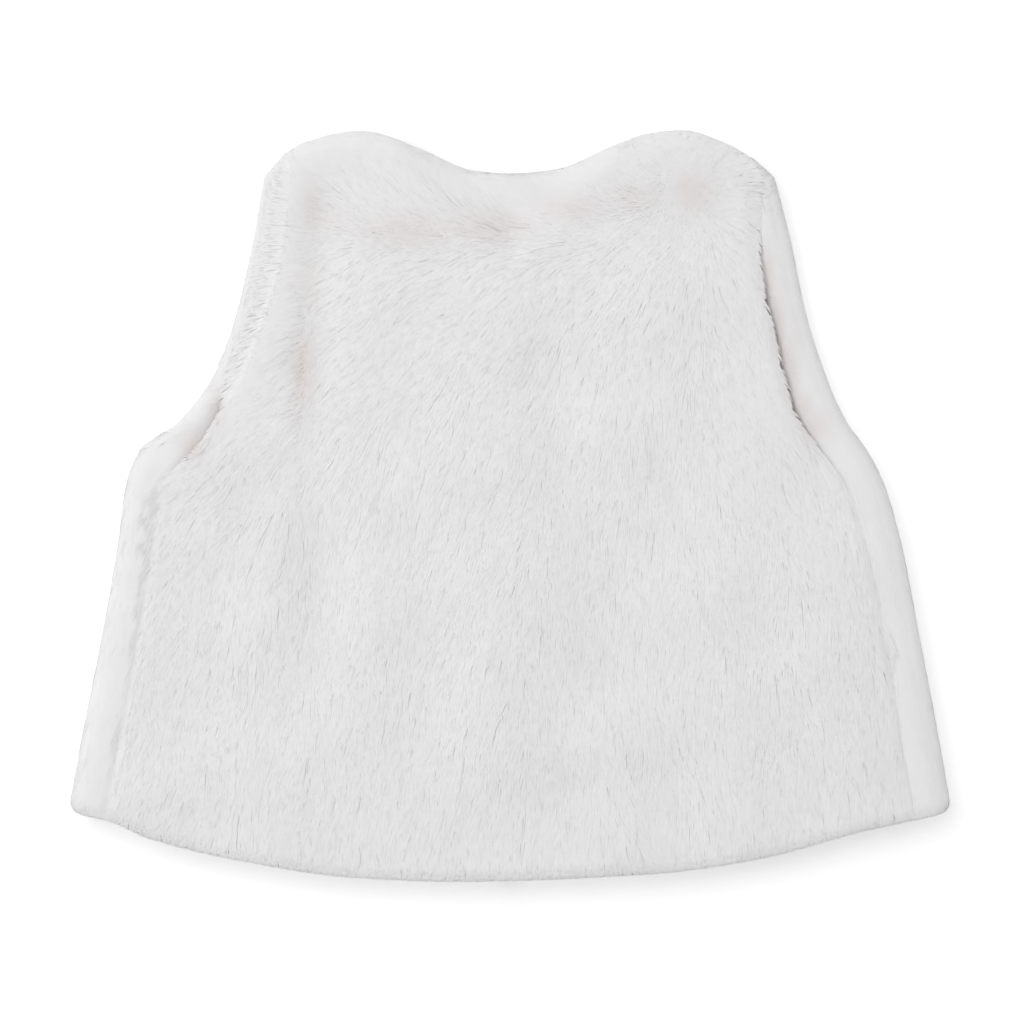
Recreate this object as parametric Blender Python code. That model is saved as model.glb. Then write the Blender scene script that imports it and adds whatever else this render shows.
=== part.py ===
"""Child's plush fleece vest, laid flat with its back up.

The vest is cut as one back and two fronts. The fronts lie face down, turn up
round both sides and end in a narrow strip beside the back, which lies on them.
Each panel is a wall as thick as its backing cloth and combed pile together.

Sizes are in millimetres and become metres when the meshes are made. As the vest
lies, +X is its right edge, +Y its neck and +Z up. The origin is on the surface
it lies on, under the middle of its outline.
"""
from collections import namedtuple

import bmesh
import bpy
import numpy as np

VEST_NAME = "plush_vest"
MM = 0.001

# Driving dimensions
WALL = 9.0                # backing cloth and combed pile together
LAYER_GAP = 0.3           # between panels that lie on each other
SEAM_GAP = 0.4            # across a side seam, and between the two fronts
FOLD_HOLLOW = 1.2         # hollow left inside the turned side
NECK_HALF_WIDTH = 50.0    # from the middle to the neck end of a shoulder
FRONT_NECK_DROP = 55.0    # from there down to the front neckline's lowest point
FRONT_NECK_BOW = 0.75     # 1 is a straight V, less bows it outward
NECK_SAG = 6.0            # the back neck sinks, with no front under it
NECK_SAG_REACH = 30.0     # distance over which it sinks
SHOULDER_BLEND = 8.0      # the neck's round edge turns into the shoulder seam
CORNER_REACH = 40.0       # the strips' ends slant with the outline over this length

# Rounded edges, as shares of a panel's thickness
RIM_LEFT = 0.15           # left at the rim of a free, round edge
SHOULDER_LEFT = 0.08      # left at a shoulder seam, where both panels close up
SEAM_LEFT = 0.3           # left of the upper half at a side seam
SEAM_DIP_WIDTH = 4.0      # width of the dip in the pile along a side seam

# Mesh divisions
ROW_COUNT = 24            # along the vest, between its rounded ends
BACK_COLUMNS = 27         # across the back, between its side dips
FRONT_COLUMNS = 9         # across a front's lower wall
TURN_COLUMNS = 6          # round its turned side
STRIP_COLUMNS = 4         # over its strip
RIM_STEPS = (0.0, 0.12, 0.42)  # steps in a rounded edge, as shares of its radius

# Sections across the vest from the hem corners to the shoulders. edge: the turned
# side. back: the back's own edge. gap: from there to the front's strip, a seam up to
# the underarm and an armhole above it. loft: the turned side's share of WALL.
Section = namedtuple(
    "Section", "height left_edge left_back left_gap right_edge right_back right_gap loft")
SECTIONS = (
    Section(-122.0, -176.6, -161.8, SEAM_GAP, 176.2, 161.2, SEAM_GAP, 1.0),
    Section(-94.0, -171.6, -155.8, SEAM_GAP, 171.4, 155.6, SEAM_GAP, 1.0),
    Section(-54.0, -163.6, -148.4, SEAM_GAP, 163.8, 149.0, SEAM_GAP, 1.0),
    Section(-16.0, -157.0, -142.4, SEAM_GAP, 156.4, 141.2, SEAM_GAP, 1.0),
    Section(8.0, -153.6, -138.6, SEAM_GAP, 149.6, 133.6, SEAM_GAP, 1.0),
    Section(22.0, -148.4, -125.4, 2.8, 142.6, 123.2, 1.6, 0.95),
    Section(34.0, -132.4, -117.4, 3.2, 134.2, 113.4, 4.6, 0.88),
    Section(52.0, -119.0, -107.0, 1.4, 126.2, 106.8, 5.2, 0.84),
    Section(78.0, -109.4, -97.4, 0.8, 118.0, 101.2, 4.6, 0.82),
    Section(106.0, -103.0, -90.6, 0.8, 112.2, 96.2, 2.6, 0.86),
    Section(131.0, -98.4, -89.0, SEAM_GAP, 105.6, 96.0, SEAM_GAP, 1.0),
)

# The hem and the neck between the outer corners that the first and last sections give
EdgePoint = namedtuple("EdgePoint", "across height")
HEM = (
    EdgePoint(-162.0, -125.2),
    EdgePoint(-142.0, -133.4),
    EdgePoint(-106.0, -142.0),
    EdgePoint(-62.0, -148.4),
    EdgePoint(-20.0, -150.0),
    EdgePoint(56.0, -147.0),
    EdgePoint(100.0, -140.8),
    EdgePoint(138.0, -130.6),
    EdgePoint(162.0, -125.2),
)
NECK = (
    EdgePoint(-94.0, 136.6),
    EdgePoint(-82.0, 145.2),
    EdgePoint(-60.0, 149.8),
    EdgePoint(-38.0, 143.2),
    EdgePoint(-14.0, 134.0),
    EdgePoint(0.0, 133.0),
    EdgePoint(18.0, 134.6),
    EdgePoint(40.0, 143.0),
    EdgePoint(58.0, 149.2),
    EdgePoint(69.0, 150.0),
    EdgePoint(84.0, 145.6),
    EdgePoint(98.0, 137.6),
)

# Largest folds of the back: troughs are negative, ridges positive
Fold = namedtuple("Fold", "start_x start_y end_x end_y height half_width")
FOLDS = (
    Fold(-77.0, 122.0, -80.0, 48.0, -2.4, 11.0),
    Fold(-80.0, 48.0, -71.0, -58.0, -2.0, 12.0),
    Fold(-105.0, 14.0, -119.0, -84.0, -2.2, 14.0),
    Fold(-97.0, 0.0, -94.0, -52.0, 1.6, 12.0),
    Fold(14.0, 80.0, 26.0, 10.0, -1.6, 14.0),
    Fold(28.0, 18.0, 42.0, -82.0, -2.2, 15.0),
    Fold(-8.0, 12.0, 4.0, -104.0, 1.4, 22.0),
    Fold(106.0, 2.0, 118.0, -70.0, 1.6, 18.0),
    Fold(26.0, -106.0, 30.0, -140.0, -1.6, 12.0),
)

FOLD_FADE = 0.33          # share of a fold's length over which each end fades

FUR_WHITE = (0.73, 0.73, 0.745, 1.0)
FUR_ROUGHNESS = 0.9


def smooth_curve(knots, positions):
    """Read a curve through (position, value) knots that never overshoots them."""
    at, value = np.array(knots, dtype=float).T
    step = np.diff(at)
    slope = np.diff(value) / step
    agree = slope[:-1] * slope[1:] > 0.0
    both = np.where(agree, slope[:-1] + slope[1:], 1.0)
    inner = np.where(agree, 2.0 * slope[:-1] * slope[1:] / both, 0.0)
    tangent = np.concatenate((slope[:1], inner, slope[-1:]))
    place = np.clip(positions, at[0], at[-1])
    index = np.clip(np.searchsorted(at, place) - 1, 0, len(step) - 1)
    share = (place - at[index]) / step[index]
    rest = 1.0 - share
    return (value[index] * (1.0 + 2.0 * share) * rest ** 2
            + value[index + 1] * (1.0 + 2.0 * rest) * share ** 2
            + tangent[index] * step[index] * share * rest ** 2
            - tangent[index + 1] * step[index] * rest * share ** 2)


def smooth_step(share):
    share = np.clip(share, 0.0, 1.0)
    return share * share * (3.0 - 2.0 * share)


def quarter_round(distance, radius, least):
    """Rise from a rounded edge: least at the edge, 1 from one radius inward."""
    share = np.clip(distance / radius, 0.0, 1.0)
    return least + (1.0 - least) * np.sqrt(1.0 - (1.0 - share) ** 2)


def stations(length, rim, count):
    """Shares of a length from 0 to 1, closer together near both of its ends."""
    rim_shares = np.array(RIM_STEPS) * rim / length
    between = np.linspace(rim / length, 1.0 - rim / length, count)
    return np.concatenate((rim_shares, between, 1.0 - rim_shares[::-1]))


def coons_patch(bottom, top, left, right, across, along):
    """Fill four edge curves with a grid of points, rows along and columns across."""
    u = across[None, :, None]
    v = along[:, None, None]
    between_ends = (1.0 - v) * bottom[None] + v * top[None]
    between_sides = (1.0 - u) * left[:, None] + u * right[:, None]
    corners = ((1.0 - v) * ((1.0 - u) * bottom[0] + u * bottom[-1])
               + v * ((1.0 - u) * top[0] + u * top[-1]))
    return between_ends + between_sides - corners


FIRST, LAST = SECTIONS[0], SECTIONS[-1]
SIDE_LENGTH = LAST.height - FIRST.height
ROWS = stations(SIDE_LENGTH, WALL, ROW_COUNT)
ROW_HEIGHTS = FIRST.height + ROWS * SIDE_LENGTH


def section_values(column):
    """One column of SECTIONS, read at every row."""
    knots = [(section.height, getattr(section, column)) for section in SECTIONS]
    return smooth_curve(knots, ROW_HEIGHTS)


def hem_height(across):
    left = (FIRST.left_edge, FIRST.height)
    right = (FIRST.right_edge, FIRST.height)
    return smooth_curve((left, *HEM, right), across)


def neck_height(across):
    left = (LAST.left_edge, LAST.height)
    right = (LAST.right_edge, LAST.height)
    return smooth_curve((left, *NECK, right), across)


def back_heights(back_x):
    """Row heights along one edge of the back, which starts and ends on the outline."""
    at_hem = hem_height(back_x[0]) - FIRST.height
    at_neck = neck_height(back_x[-1]) - LAST.height
    near_hem = 1.0 - smooth_step((ROW_HEIGHTS - FIRST.height) / CORNER_REACH)
    near_neck = 1.0 - smooth_step((LAST.height - ROW_HEIGHTS) / CORNER_REACH)
    return ROW_HEIGHTS + at_hem * near_hem + at_neck * near_neck


def front_neckline(side):
    """The lowest point and the neck point's height of one front's neckline."""
    neck_point = float(neck_height(np.array(side * NECK_HALF_WIDTH)))
    return neck_point - FRONT_NECK_DROP, neck_point


def neck_sag(x, y):
    """How far the back sinks above the front neckline, where nothing is under it."""
    lowest, _ = front_neckline(1.0)
    bow = (np.abs(x) / NECK_HALF_WIDTH) ** (1.0 / FRONT_NECK_BOW)
    beyond = y - (lowest + FRONT_NECK_DROP * bow)
    return NECK_SAG * smooth_step(beyond / NECK_SAG_REACH)


def fold_height(x, y):
    """Sum of the soft troughs and ridges at each point of the back."""
    total = np.zeros_like(x)
    for fold in FOLDS:
        run = np.array((fold.end_x - fold.start_x, fold.end_y - fold.start_y))
        length = np.hypot(*run)
        run_x, run_y = run / length
        from_x = x - fold.start_x
        from_y = y - fold.start_y
        along = (from_x * run_x + from_y * run_y) / length
        aside = (from_x * run_y - from_y * run_x) / fold.half_width
        fade_in = smooth_step(0.5 + along / FOLD_FADE)
        fade_out = smooth_step(0.5 + (1.0 - along) / FOLD_FADE)
        total += fold.height * fade_in * fade_out * np.exp(-aside ** 2)
    return total


def back_points():
    """Inner and outer points of the back, which lies on both fronts."""
    left_x = section_values("left_back")
    right_x = section_values("right_back")
    columns = stations(right_x[0] - left_x[0], SEAM_DIP_WIDTH, BACK_COLUMNS)
    hem_x = left_x[0] + columns * (right_x[0] - left_x[0])
    neck_x = left_x[-1] + columns * (right_x[-1] - left_x[-1])
    plan = coons_patch(
        np.column_stack((hem_x, hem_height(hem_x))),
        np.column_stack((neck_x, neck_height(neck_x))),
        np.column_stack((left_x, back_heights(left_x))),
        np.column_stack((right_x, back_heights(right_x))),
        columns, ROWS)
    x, y = plan[..., 0], plan[..., 1]

    from_hem = (ROWS * SIDE_LENGTH)[:, None]
    from_neck = ((1.0 - ROWS) * SIDE_LENGTH)[:, None]
    width = (right_x - left_x)[:, None]
    from_side = np.minimum(columns, 1.0 - columns)[None] * width
    past_neck = np.abs(x) - NECK_HALF_WIDTH + SHOULDER_BLEND
    shoulder = smooth_step(past_neck / (2.0 * SHOULDER_BLEND))
    neck_round = quarter_round(from_neck, WALL / 2.0, RIM_LEFT)
    rim = quarter_round(from_hem, WALL / 2.0, RIM_LEFT)
    rim = rim * (neck_round + (1.0 - neck_round) * shoulder)
    closing = quarter_round(from_neck, WALL, SHOULDER_LEFT)
    closing = 1.0 - (1.0 - closing) * shoulder
    seam = quarter_round(from_side, SEAM_DIP_WIDTH, SEAM_LEFT)

    base = WALL + LAYER_GAP - neck_sag(x, y)
    inner_z = base + WALL * (0.5 - 0.5 * rim) * closing
    outer_z = base + WALL * (0.5 + 0.5 * rim * seam) * closing
    outer_z = outer_z + fold_height(x, y) * rim * seam * closing
    return np.dstack((x, y, inner_z)), np.dstack((x, y, outer_z))


def front_points(name, side):
    """Inner and outer points of a front: lower wall, turned side and strip.

    Distances across are counted outward from the middle, whichever side it is.
    """
    edge = side * section_values(name + "_edge")
    back_x = section_values(name + "_back")
    strip_end = side * back_x + section_values(name + "_gap")
    loft = WALL * section_values("loft")
    rim = quarter_round(ROWS * SIDE_LENGTH, WALL / 2.0, RIM_LEFT)
    closing = quarter_round((1.0 - ROWS) * SIDE_LENGTH, WALL, SHOULDER_LEFT)
    turn_x = edge - LAYER_GAP / 2.0 - loft * closing
    turn_z = loft + LAYER_GAP / 2.0

    # Lower wall, from the centre front and neckline out to the turned side
    columns = stations(turn_x[0], WALL / 2.0, FRONT_COLUMNS)[:-len(RIM_STEPS)]
    columns = columns / columns[-1]
    lowest, neck_point = front_neckline(side)
    hem_middle = float(hem_height(np.array(0.0)))
    centre_y = hem_middle + ROWS * (neck_point - hem_middle)
    up_neckline = np.clip((centre_y - lowest) / FRONT_NECK_DROP, 0.0, 1.0)
    centre_x = SEAM_GAP / 2.0 + (NECK_HALF_WIDTH - SEAM_GAP / 2.0) * up_neckline ** FRONT_NECK_BOW
    hem_x = centre_x[0] + columns * (turn_x[0] - centre_x[0])
    neck_x = centre_x[-1] + columns * (turn_x[-1] - centre_x[-1])
    plan = coons_patch(
        np.column_stack((hem_x, hem_height(side * hem_x))),
        np.column_stack((neck_x, neck_height(side * neck_x))),
        np.column_stack((centre_x, centre_y)),
        np.column_stack((turn_x, ROW_HEIGHTS)),
        columns, ROWS)
    width = (turn_x - centre_x)[:, None]
    centre_rim = quarter_round(columns[None] * width, WALL / 2.0, RIM_LEFT)
    lower_rim = rim[:, None] * centre_rim
    thick = WALL + (loft[:, None] - WALL) * smooth_step(columns[None])
    lower_inner = thick * (1.0 - (0.5 - 0.5 * lower_rim) * closing[:, None])
    lower_outer = thick * (1.0 - (0.5 + 0.5 * lower_rim) * closing[:, None])

    # Turned side, half round from the lower wall's end up to the strip
    angle = np.linspace(-0.5, 0.5, TURN_COLUMNS + 1)[None, 1:] * np.pi
    inner_reach = loft * (0.5 - 0.5 * rim) * closing + LAYER_GAP / 2.0
    outer_reach = loft * (0.5 + 0.5 * rim) * closing + LAYER_GAP / 2.0
    hollow = (FOLD_HOLLOW * rim * closing)[:, None] * np.cos(angle) ** 2
    inner_radius = inner_reach[:, None] + hollow
    outer_radius = np.repeat(outer_reach[:, None], TURN_COLUMNS, axis=1)

    # Strip, from the turned side's top in to the seam or the armhole
    share = np.linspace(0.0, 1.0, STRIP_COLUMNS + 1)[None, 1:]
    strip_x = turn_x[:, None] + (strip_end - turn_x)[:, None] * share
    strip_y = ROW_HEIGHTS[:, None] + (back_heights(back_x) - ROW_HEIGHTS)[:, None] * share
    dip = quarter_round(1.0 - share, 1.0, SEAM_LEFT)
    strip_inner = np.repeat((turn_z + inner_reach)[:, None], STRIP_COLUMNS, axis=1)
    strip_outer = turn_z[:, None] + LAYER_GAP / 2.0 + (
        loft[:, None] * (0.5 + 0.5 * rim[:, None] * dip) * closing[:, None])

    def joined(lower_z, radius, strip_z):
        turn_across = turn_x[:, None] + radius * np.cos(angle)
        turn_height = turn_z[:, None] + radius * np.sin(angle)
        x = np.hstack((plan[..., 0], turn_across, strip_x))
        turn_y = np.repeat(ROW_HEIGHTS[:, None], TURN_COLUMNS, axis=1)
        y = np.hstack((plan[..., 1], turn_y, strip_y))
        return np.dstack((side * x, y, np.hstack((lower_z, turn_height, strip_z))))

    return (joined(lower_inner, inner_radius, strip_inner),
            joined(lower_outer, outer_radius, strip_outer))


def fur_material(name):
    material = bpy.data.materials.new(name)
    material.use_nodes = True
    shader = material.node_tree.nodes["Principled BSDF"]
    shader.inputs["Base Color"].default_value = FUR_WHITE
    shader.inputs["Roughness"].default_value = FUR_ROUGHNESS
    shader.inputs["Metallic"].default_value = 0.0
    return material


def wall_object(name, inner, outer, collection):
    """Make a closed wall: a grid on the inner points, extruded to the outer ones."""
    row_count, column_count = inner.shape[:2]
    bm = bmesh.new()
    bmesh.ops.create_grid(bm, x_segments=column_count - 1, y_segments=row_count - 1, size=0.5)
    inner_verts = list(bm.verts)
    grown = bmesh.ops.extrude_face_region(bm, geom=bm.faces[:], use_keep_orig=True)
    outer_verts = [item for item in grown["geom"] if isinstance(item, bmesh.types.BMVert)]
    for verts, points in ((inner_verts, inner), (outer_verts, outer)):
        for vert in verts:
            column = round((vert.co.x + 0.5) * (column_count - 1))
            row = round((vert.co.y + 0.5) * (row_count - 1))
            vert.co = points[row, column] * MM
    bmesh.ops.recalc_face_normals(bm, faces=bm.faces[:])
    if bm.calc_volume(signed=True) < 0.0:
        bmesh.ops.reverse_faces(bm, faces=bm.faces[:])
    mesh = bpy.data.meshes.new(name)
    bm.to_mesh(mesh)
    bm.free()
    mesh.shade_smooth()
    mesh.materials.append(fur_material(name + "_fur"))
    wall = bpy.data.objects.new(name, mesh)
    collection.objects.link(wall)


def main():
    for old in list(bpy.data.objects):
        bpy.data.objects.remove(old, do_unlink=True)
    collection = bpy.data.collections.new(VEST_NAME)
    bpy.context.scene.collection.children.link(collection)

    panels = {
        "back": back_points(),
        "front_left": front_points("left", -1.0),
        "front_right": front_points("right", 1.0),
    }
    every_point = np.vstack([outer.reshape(-1, 3) for _, outer in panels.values()])
    middle = (every_point.min(axis=0) + every_point.max(axis=0)) / 2.0
    middle[2] = 0.0
    for name, (inner, outer) in panels.items():
        wall_object(name, inner - middle, outer - middle, collection)


main()
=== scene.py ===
"""Looks of the child's plush vest, laid flat with its back up.

Each panel is a cloth shell on its solid's form, covered with a combed pile of fine
strands. Sizes are in millimetres and become metres when meshes are made. As the vest
lies, +X is its right edge, +Y its neck and +Z up.
"""
from collections import namedtuple

import bmesh
import bpy
import numpy as np
from mathutils.kdtree import KDTree
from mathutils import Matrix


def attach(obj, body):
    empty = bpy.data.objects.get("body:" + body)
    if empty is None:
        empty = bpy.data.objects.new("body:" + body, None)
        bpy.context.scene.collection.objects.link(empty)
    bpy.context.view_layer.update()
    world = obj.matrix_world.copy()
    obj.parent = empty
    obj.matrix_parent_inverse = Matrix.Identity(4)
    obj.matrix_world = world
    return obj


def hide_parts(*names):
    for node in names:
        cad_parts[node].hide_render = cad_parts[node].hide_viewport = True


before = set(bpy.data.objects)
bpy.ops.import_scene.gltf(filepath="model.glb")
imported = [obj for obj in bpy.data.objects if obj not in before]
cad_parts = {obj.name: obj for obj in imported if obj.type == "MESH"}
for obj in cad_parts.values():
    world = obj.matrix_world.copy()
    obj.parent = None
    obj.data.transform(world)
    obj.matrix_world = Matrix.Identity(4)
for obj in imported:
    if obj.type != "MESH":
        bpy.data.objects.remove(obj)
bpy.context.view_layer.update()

MM = 0.001
BODY = "root"
SIDES = (("left", -1.0), ("right", 1.0))

# Construction, as in the solids
WALL = 9.0                # backing cloth and combed pile together
LAYER_GAP = 0.3           # between panels that lie on each other
SEAM_GAP = 0.4            # across a side seam, and between the two fronts
FOLD_HOLLOW = 1.2         # hollow left inside the turned side
NECK_HALF_WIDTH = 50.0    # from the middle to the neck end of a shoulder
FRONT_NECK_DROP = 55.0    # from there down to the front neckline's lowest point
FRONT_NECK_BOW = 0.75     # 1 is a straight V, less bows it outward
NECK_SAG = 6.0            # the back neck sinks, with no front under it
NECK_SAG_REACH = 30.0     # distance over which it sinks
SHOULDER_BLEND = 8.0      # the neck's round edge turns into the shoulder seam
CORNER_REACH = 40.0       # the strips' ends slant with the outline over this length
RIM_LEFT = 0.15           # share of the thickness left at a free, round edge
SHOULDER_LEFT = 0.08      # the same at a shoulder seam
SEAM_LEFT = 0.3           # share of the upper half left at a side seam
SEAM_DIP_WIDTH = 4.0      # width of the dip in the pile along a side seam

# Sections across the vest from the hem corners to the shoulders. edge: the turned
# side. back: the back's own edge. gap: from there to the front's strip, a seam up to
# the underarm and an armhole above it. loft: the turned side's share of WALL.
Section = namedtuple(
    "Section", "height left_edge left_back left_gap right_edge right_back right_gap loft")
SECTIONS = (
    Section(-122.0, -176.6, -161.8, SEAM_GAP, 176.2, 161.2, SEAM_GAP, 1.0),
    Section(-94.0, -171.6, -155.8, SEAM_GAP, 171.4, 155.6, SEAM_GAP, 1.0),
    Section(-54.0, -163.6, -148.4, SEAM_GAP, 163.8, 149.0, SEAM_GAP, 1.0),
    Section(-16.0, -157.0, -142.4, SEAM_GAP, 156.4, 141.2, SEAM_GAP, 1.0),
    Section(8.0, -153.6, -138.6, SEAM_GAP, 149.6, 133.6, SEAM_GAP, 1.0),
    Section(22.0, -148.4, -125.4, 2.8, 142.6, 123.2, 1.6, 0.95),
    Section(34.0, -132.4, -117.4, 3.2, 134.2, 113.4, 4.6, 0.88),
    Section(52.0, -119.0, -107.0, 1.4, 126.2, 106.8, 5.2, 0.84),
    Section(78.0, -109.4, -97.4, 0.8, 118.0, 101.2, 4.6, 0.82),
    Section(106.0, -103.0, -90.6, 0.8, 112.2, 96.2, 2.6, 0.86),
    Section(131.0, -98.4, -89.0, SEAM_GAP, 105.6, 96.0, SEAM_GAP, 1.0),
)

# The hem and the neck as places across and their heights, between the outer corners that
# the first and last sections give
HEM = (
    (-162.0, -125.2), (-142.0, -133.4), (-106.0, -142.0), (-62.0, -148.4), (-20.0, -150.0),
    (56.0, -147.0), (100.0, -140.8), (138.0, -130.6), (162.0, -125.2),
)
NECK = (
    (-94.0, 136.6), (-82.0, 145.2), (-60.0, 149.8), (-38.0, 143.2), (-14.0, 134.0), (0.0, 133.0),
    (18.0, 134.6), (40.0, 143.0), (58.0, 149.2), (69.0, 150.0), (84.0, 145.6), (98.0, 137.6),
)

# Largest folds of the back: troughs are negative, ridges positive
Fold = namedtuple("Fold", "start_x start_y end_x end_y height half_width")
FOLDS = (
    Fold(-77, 122, -80, 48, -2.4, 11),
    Fold(-80, 48, -71, -58, -2, 12),
    Fold(-105, 14, -119, -84, -2.2, 14),
    Fold(-97, 0, -94, -52, 1.6, 12),
    Fold(14, 80, 26, 10, -1.6, 14),
    Fold(28, 18, 42, -82, -2.2, 15),
    Fold(-8, 12, 4, -104, 1.4, 22),
    Fold(106, 2, 118, -70, 1.6, 18),
    Fold(26, -106, 30, -140, -1.6, 12),
)
FOLD_FADE = 0.33          # share of a fold's length over which each end fades

# Lie of the pile on the back. angle: in degrees from straight down the vest, positive
# towards its right edge, so 180 points over the neck.
Guide = namedtuple("Guide", "x y angle")
GUIDES = [Guide(*values) for values in (
    # Along the neck and over the right shoulder
    (-86, 136, -140), (-62, 141, -175), (-32, 131, 180), (0, 125, 180), (26, 129, 180),
    (54, 141, 178), (80, 138, 150), (94, 124, 95),
    # Above the ridge under the neck
    (-64, 121, -130), (-38, 116, -120), (-8, 114, -112), (22, 120, -120), (48, 127, -130),
    # Below that ridge
    (-62, 104, -58), (-38, 102, -60), (-12, 101, -56), (8, 105, -64),
    (28, 107, -62), (48, 110, -44), (66, 114, -26), (82, 112, 40),
    # Beside the right armhole
    (90, 98, 26), (98, 92, 46), (101, 74, 44), (106, 54, 42), (112, 38, 42),
    # Beside the left armhole
    (-92, 116, -95), (-92, 90, -78), (-96, 64, -62), (-102, 40, -48), (-112, 24, -44),
    (-128, 10, -50),
    # Between the armholes, in three rows
    (-64, 84, -34), (-40, 82, -42), (-16, 82, -40), (8, 84, -30), (34, 86, -26), (62, 88, -27),
    (86, 82, 2),
    (-64, 56, -33), (-40, 56, -42), (-14, 56, -33), (10, 56, -22), (36, 56, -8), (64, 58, -12),
    (92, 58, 10),
    (-64, 28, -34), (-38, 30, -16), (-12, 30, -16), (14, 28, -14), (40, 28, -2), (70, 28, 6),
    (94, 34, 20), (108, 24, 32),
    # Below them, in four rows down to the hem
    (-104, 2, -20), (-82, 4, -14), (-58, 2, -10), (-32, 0, -13), (-8, 0, -20), (20, 2, -6),
    (50, 0, 0), (78, 4, 12), (102, 0, 6), (124, 2, 28),
    (-134, -20, -24), (-100, -30, -6), (-60, -30, -5), (-20, -30, -15), (20, -30, -4),
    (60, -30, 0), (100, -30, 4), (134, -26, 13),
    (-146, -70, -14), (-100, -70, -6), (-60, -70, -5), (-20, -70, -11), (20, -70, -3),
    (60, -70, 4), (100, -70, 5), (142, -70, 9),
    (-152, -112, -14), (-100, -112, -8), (-60, -112, -5), (-18, -112, -9), (22, -112, 3),
    (50, -112, 13), (100, -112, 6), (148, -112, 8),
)]
GUIDE_REACH = 13.0        # a guide's weight falls off over this distance
FAR_WEIGHT = 1e-9         # what is left of it far from all guides

# Where the pile parts: strands turn away from the line by up to turn degrees
Parting = namedtuple("Parting", "start_x start_y end_x end_y turn half_width")
PARTINGS = (
    Parting(-76, 132, -79, 108, 34, 4),
    Parting(-79, 108, -81, 66, 28, 4),
    Parting(-81, 66, -83, 30, 34, 4),
    Parting(0, -77, -5, -88, 26, 1.6),
    Parting(-66, 30, -70, 20, 18, 1.6),
    Parting(-93, 0, -97, -12, 18, 1.6),
    Parting(133, -8, 132, -22, 18, 1.6),
)
PARTING_SHARPNESS = 2.0   # how abruptly they do so beside it

# Outward lean of the pile on the fronts' turned sides: at these heights, in degrees from
# straight down
SIDE_LEAN = (
    (-150.0, 15.0), (-60.0, 16.0), (0.0, 24.0), (26.0, 44.0), (52.0, 70.0), (100.0, 88.0),
    (128.0, 125.0), (150.0, 150.0),
)

# Pile
PILE_DEPTH = 0.45         # from the combed surface down to the strands' roots
STRAND_LENGTH = 13.0
BACK_WIDTH = 0.6          # width of a strand on the back
FRONT_WIDTH = 0.8         # and on the fronts, where the pile lies smoother
STRAND_JOINTS = 3         # straight pieces in a strand, the last one a point
STEPS_PER_JOINT = 2       # steps along the surface for each of them
MOST_BEND = np.radians(25.0)  # a strand's largest turn at a step
BACK_STRANDS = 128000
FRONT_STRANDS = 25500     # on each front
DROOP = 0.3               # downward pull where the surface turns away
EDGE_DROOP = 3.0          # more of it over the hem and the neck
FLOOR_GAP = 0.25          # strands end this far above what the vest lies on
LOCK_WIDTH = 1.3          # locks are strands that lie together
LOCK_LENGTH = 11.0
LOCK_STEPS = 5            # points along a lock, which the strands near them belong to
LOCK_PULL = 0.08          # share by which the tips of a lock draw together
LOCK_LIFT = 0.04          # how far locks lie above or below each other
STRAND_LIFT = 0.02        # and single strands
LOCK_TURN = 3.5           # spread of the locks' turn, in degrees
STRAND_TURN = 3.0         # and of the strands'
DRIFT_TURN = 5.0          # how far the lie of the pile wanders, in degrees
DRIFT_SIZE = 30.0         # and over which distance
RUFFLE_SHARE = 0.7        # share of a ruffle's spread in either of those turns
LOCK_ROLL = np.radians(5.0)
STRAND_ROLL = np.radians(3.5)
LENGTH_SPREAD = 0.08      # of the locks' length and of the strands', as a share of it
LENGTH_RANGE = (0.6, 1.4)
LOCK_TONE = 0.1           # spread of the locks' tone, which runs from grey 0 to pale 1
STRAND_TONE = 0.06        # and of the strands'
CLOUD_TONE = 0.12         # how far the pile's tone wanders
CLOUD_SIZE = 45.0         # and over which distance
WAVE_RANGE = (0.7, 1.5)   # pitch of the waves in both, as shares of that distance
SHALLOW_FROM = 0.3        # roots are shallower where a ruffle turns more, in radians
SHALLOW_LEAST = 0.2       # least share of their depth there
LIT_SHARE = 0.97          # share of the combed surface in how a strand takes light
LIT_UPWARD = 0.72         # least upward part of it, as light passes through the pile
LIT_FROM = (-0.78, 0.62)  # where most light comes from, seen from above
LIT_AWAY = 0.15           # share left of a lean away from there, for the same reason
LIT_LEVEL = 0.985         # a lean counts as one where its upward part is less than this,
LIT_FADE = 0.12           # in full where it is this much less
LIT_FOOT = 7.0            # both only count above this height,
LIT_RISE = 5.0            # in full from this much higher on
CALM_LEAST = 0.3          # share of the unevenness left where the pile lies smooth
CALM_NECK = 5.0           # width of the smooth band along the neck
CALM_ARMHOLE = 4.0        # and along the left armhole
CALM_REACH = 16.0         # distance over which both end
CALM_STRIP = 0.5          # share on the fronts' strips below the armholes
EDGE_LIFT = 0.25          # how unevenly locks stand out along a rounded edge
LIFT_MIDDLE = 0.4         # locks with less lift than this sink in there
ARMHOLE_FOOT = 40.0       # height above which the left armhole is closed and smooth
RAGGED_LEFT = 2.4         # tips end between an open armhole's edge and this far past it
RAGGED_RIGHT = 5.0
RAGGED_LOCKS = 0.6        # share of whole locks in that, the rest is single strands
LEAST_OUTWARD = 0.05      # strands that run along the armhole count as turned out this much
SHORT_STRAND = 2.4        # none is shorter than this

# Soft oval patches of the back, which fade over their reach
Patch = namedtuple("Patch", "x y reach_x reach_y amount")

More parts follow.
